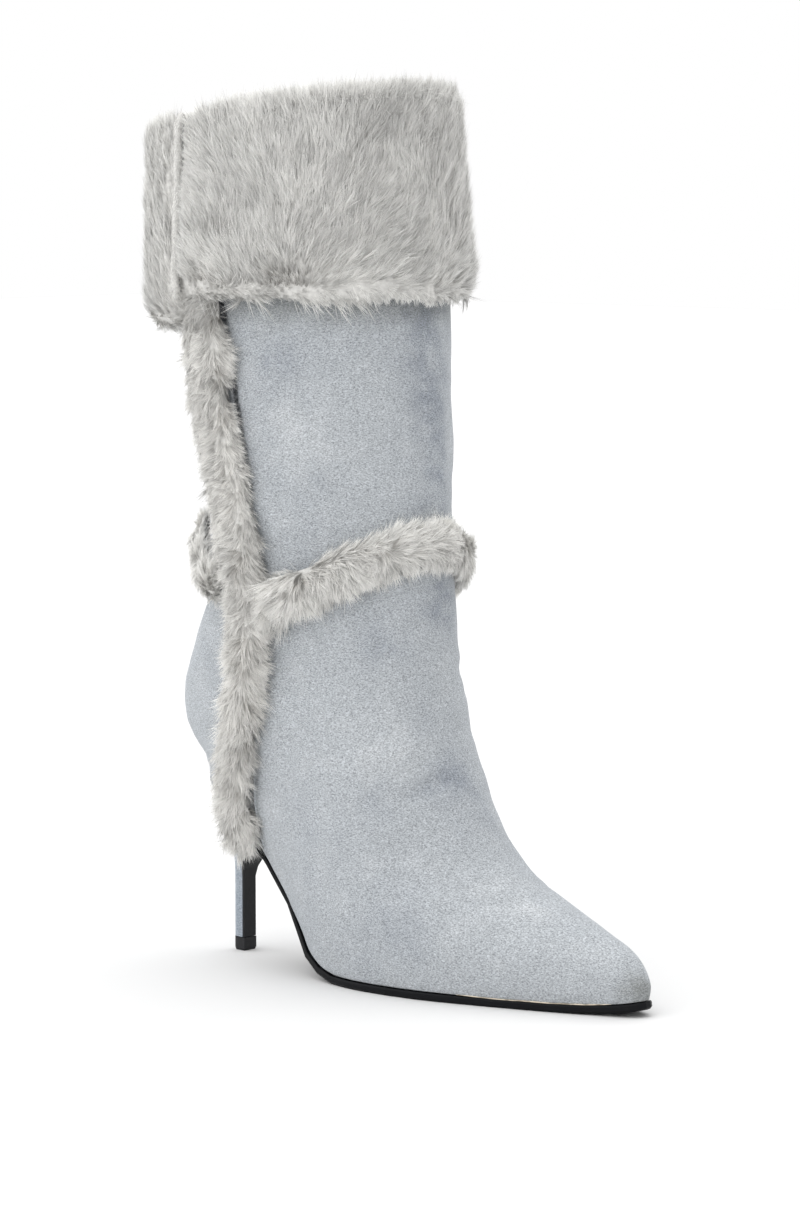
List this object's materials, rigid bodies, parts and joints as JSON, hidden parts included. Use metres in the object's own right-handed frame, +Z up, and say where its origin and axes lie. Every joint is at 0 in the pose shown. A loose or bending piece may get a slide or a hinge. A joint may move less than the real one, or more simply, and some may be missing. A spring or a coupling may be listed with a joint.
{
  "type": "stiletto boot",
  "caption": "Mid-calf pointed stiletto boot for the right foot, suede upper with a turned-down fur cuff, a fur strip down the outer side and a fur band round the ankle.",
  "frame": {"origin": "centre of the heel tip's ground face", "axes": "+X to the toe, +Y to the inner side of the foot, +Z up from the ground"},
  "size_m": [0.248, 0.1203, 0.3622],
  "materials": {
    "suede": "pale blue-grey suede",
    "sole_black": "satin black sole",
    "sock": "smooth pale lining leather",
    "heel_cover": "suede-covered heel",
    "breast_black": "satin black cover",
    "heel_rubber": "matt black rubber",
    "cuff_fur": "pale grey pile fur",
    "strip_fur": "pale grey pile fur",
    "band_fur": "pale grey pile fur"
  },
  "bodies": {
    "root": {"upper": "suede", "outsole": "sole_black", "insole": "sock", "heel": "heel_cover", "heel_breast": "breast_black", "top_piece": "heel_rubber", "fur_cuff": "cuff_fur", "fur_strip": "strip_fur", "fur_band": "band_fur"}
  },
  "joints": []
}
